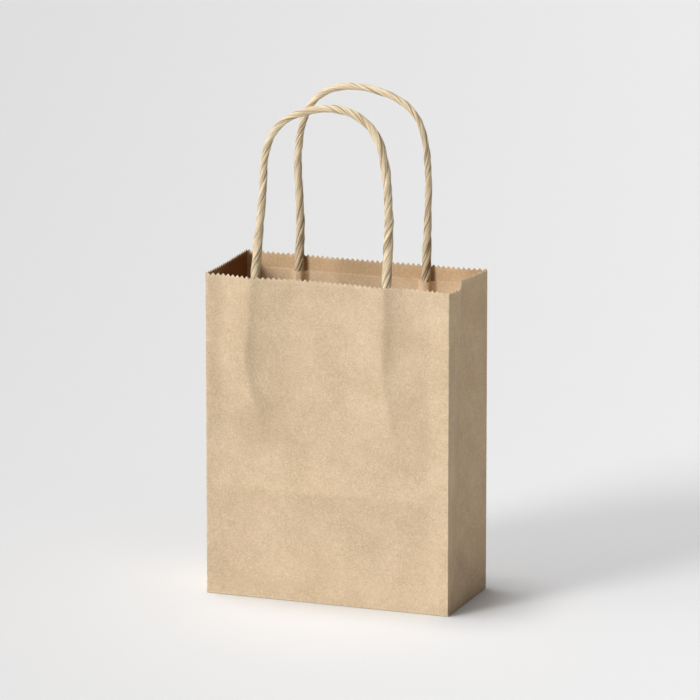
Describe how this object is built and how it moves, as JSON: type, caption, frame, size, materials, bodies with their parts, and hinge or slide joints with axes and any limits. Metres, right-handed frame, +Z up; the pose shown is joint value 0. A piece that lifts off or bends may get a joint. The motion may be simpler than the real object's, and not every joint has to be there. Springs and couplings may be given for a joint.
{
  "type": "gift bag",
  "caption": "Kraft paper gift bag with a pinked mouth, folding side gussets, a block bottom and twisted paper cord handles.",
  "frame": {"origin": "on the floor under the middle of the bottom", "axes": "+Z up, front panel facing -Y, +X to the right seen from the front"},
  "size_m": [0.14, 0.062, 0.2773],
  "materials": {
    "kraft_paper": "matte kraft",
    "patch_paper": "matte kraft",
    "twisted_cord": "twisted paper"
  },
  "bodies": {
    "front": {"front_panel": "kraft_paper", "front_patch_outer": "patch_paper", "front_patch_inner": "patch_paper", "front_cord_left_end": "twisted_cord", "front_cord_right_end": "twisted_cord"},
    "front_handle": {"front_handle": "twisted_cord"},
    "left_gusset_front": {"left_gusset_front": "kraft_paper"},
    "left_gusset_rear": {"left_gusset_rear": "kraft_paper"},
    "right_gusset_front": {"right_gusset_front": "kraft_paper"},
    "right_gusset_rear": {"right_gusset_rear": "kraft_paper", "side_seam_flap": "kraft_paper"},
    "back": {"back_panel": "kraft_paper", "back_patch_outer": "patch_paper", "back_patch_inner": "patch_paper", "back_cord_left_end": "twisted_cord", "back_cord_right_end": "twisted_cord"},
    "back_handle": {"back_handle": "twisted_cord"},
    "back_strip": {"back_lower_strip": "kraft_paper"},
    "bottom": {"bottom_front_flap": "kraft_paper", "bottom_back_flap": "kraft_paper", "bottom_left_tuck": "kraft_paper", "bottom_right_tuck": "kraft_paper"},
    "left_base_triangle": {"left_base_triangle": "kraft_paper"},
    "right_base_triangle": {"right_base_triangle": "kraft_paper"},
    "left_strip_triangle": {"left_strip_triangle": "kraft_paper"},
    "right_strip_triangle": {"right_strip_triangle": "kraft_paper"}
  },
  "joints": [
    {"name": "left_gusset_front_fold", "type": "hinge", "parent": "front", "child": "left_gusset_front", "pos_m": [-0.0697, -0.0307, 0], "axis": [0, 0, -1], "range_deg": [0, 75.1]},
    {"name": "left_gusset_rear_fold", "type": "hinge", "parent": "left_gusset_front", "child": "left_gusset_rear", "pos_m": [-0.069, 0, 0], "axis": [0, 0, 1], "range_deg": [0, 150.3]},
    {"name": "back_panel_fold", "type": "hinge", "parent": "left_gusset_rear", "child": "back", "pos_m": [-0.0697, 0.0307, 0], "axis": [0, 0, -1], "range_deg": [0, 75.2]},
    {"name": "back_strip_fold", "type": "hinge", "parent": "back", "child": "back_strip", "pos_m": [0, 0.031, 0.031], "axis": [1, 0, 0], "range_deg": [0, 118]},
    {"name": "bottom_fold", "type": "hinge", "parent": "back_strip", "child": "bottom", "pos_m": [0, 0.0307, 0.0003], "axis": [-1, 0, 0], "range_deg": [0, 71.1]},
    {"name": "right_gusset_front_fold", "type": "hinge", "parent": "front", "child": "right_gusset_front", "pos_m": [0.0697, -0.0307, 0], "axis": [0, 0, 1], "range_deg": [0, 67.6]},
    {"name": "right_gusset_rear_fold", "type": "hinge", "parent": "right_gusset_front", "child": "right_gusset_rear", "pos_m": [0.0648, 0, 0], "axis": [0, 0, -1], "range_deg": [0, 135.1]},
    {"name": "left_base_triangle_fold", "type": "hinge", "parent": "bottom", "child": "left_base_triangle", "pos_m": [-0.0697, 0, 0.0009], "axis": [0, 1, 0], "range_deg": [0, 80.2]},
    {"name": "left_strip_triangle_fold", "type": "hinge", "parent": "back_strip", "child": "left_strip_triangle", "pos_m": [-0.0697, 0.0307, 0], "axis": [0, 0, 1], "range_deg": [0, 83.2]},
    {"name": "right_base_triangle_fold", "type": "hinge", "parent": "bottom", "child": "right_base_triangle", "pos_m": [0.0697, 0, 0.0009], "axis": [0, -1, 0], "range_deg": [0, 72.3]},
    {"name": "right_strip_triangle_fold", "type": "hinge", "parent": "back_strip", "child": "right_strip_triangle", "pos_m": [0.0697, 0.0307, 0], "axis": [0, 0, -1], "range_deg": [0, 75.5]},
    {"name": "front_handle_tilt", "type": "hinge", "parent": "front", "child": "front_handle", "pos_m": [-0.004, -0.0281, 0.183], "axis": [1, 0, 0], "range_deg": [0, 95]},
    {"name": "back_handle_tilt", "type": "hinge", "parent": "back", "child": "back_handle", "pos_m": [-0.0009, 0.0281, 0.183], "axis": [-1, 0, 0], "range_deg": [0, 95]}
  ],
  "couplings": [
    {"joint": "left_gusset_rear_fold", "follows": "left_gusset_front_fold", "ratio": 2},
    {"joint": "back_panel_fold", "follows": "left_gusset_front_fold", "ratio": 1},
    {"joint": "back_strip_fold", "follows": "left_gusset_front_fold", "ratio": 1.57},
    {"joint": "bottom_fold", "follows": "left_gusset_front_fold", "ratio": 0.9458},
    {"joint": "right_gusset_front_fold", "follows": "left_gusset_front_fold", "ratio": 0.8989},
    {"joint": "right_gusset_rear_fold", "follows": "left_gusset_front_fold", "ratio": 1.7979},
    {"joint": "left_base_triangle_fold", "follows": "left_gusset_front_fold", "ratio": 1.0661},
    {"joint": "left_strip_triangle_fold", "follows": "left_gusset_front_fold", "ratio": 1.1065},
    {"joint": "right_base_triangle_fold", "follows": "left_gusset_front_fold", "ratio": 0.9609},
    {"joint": "right_strip_triangle_fold", "follows": "left_gusset_front_fold", "ratio": 1.0034}
  ]
}
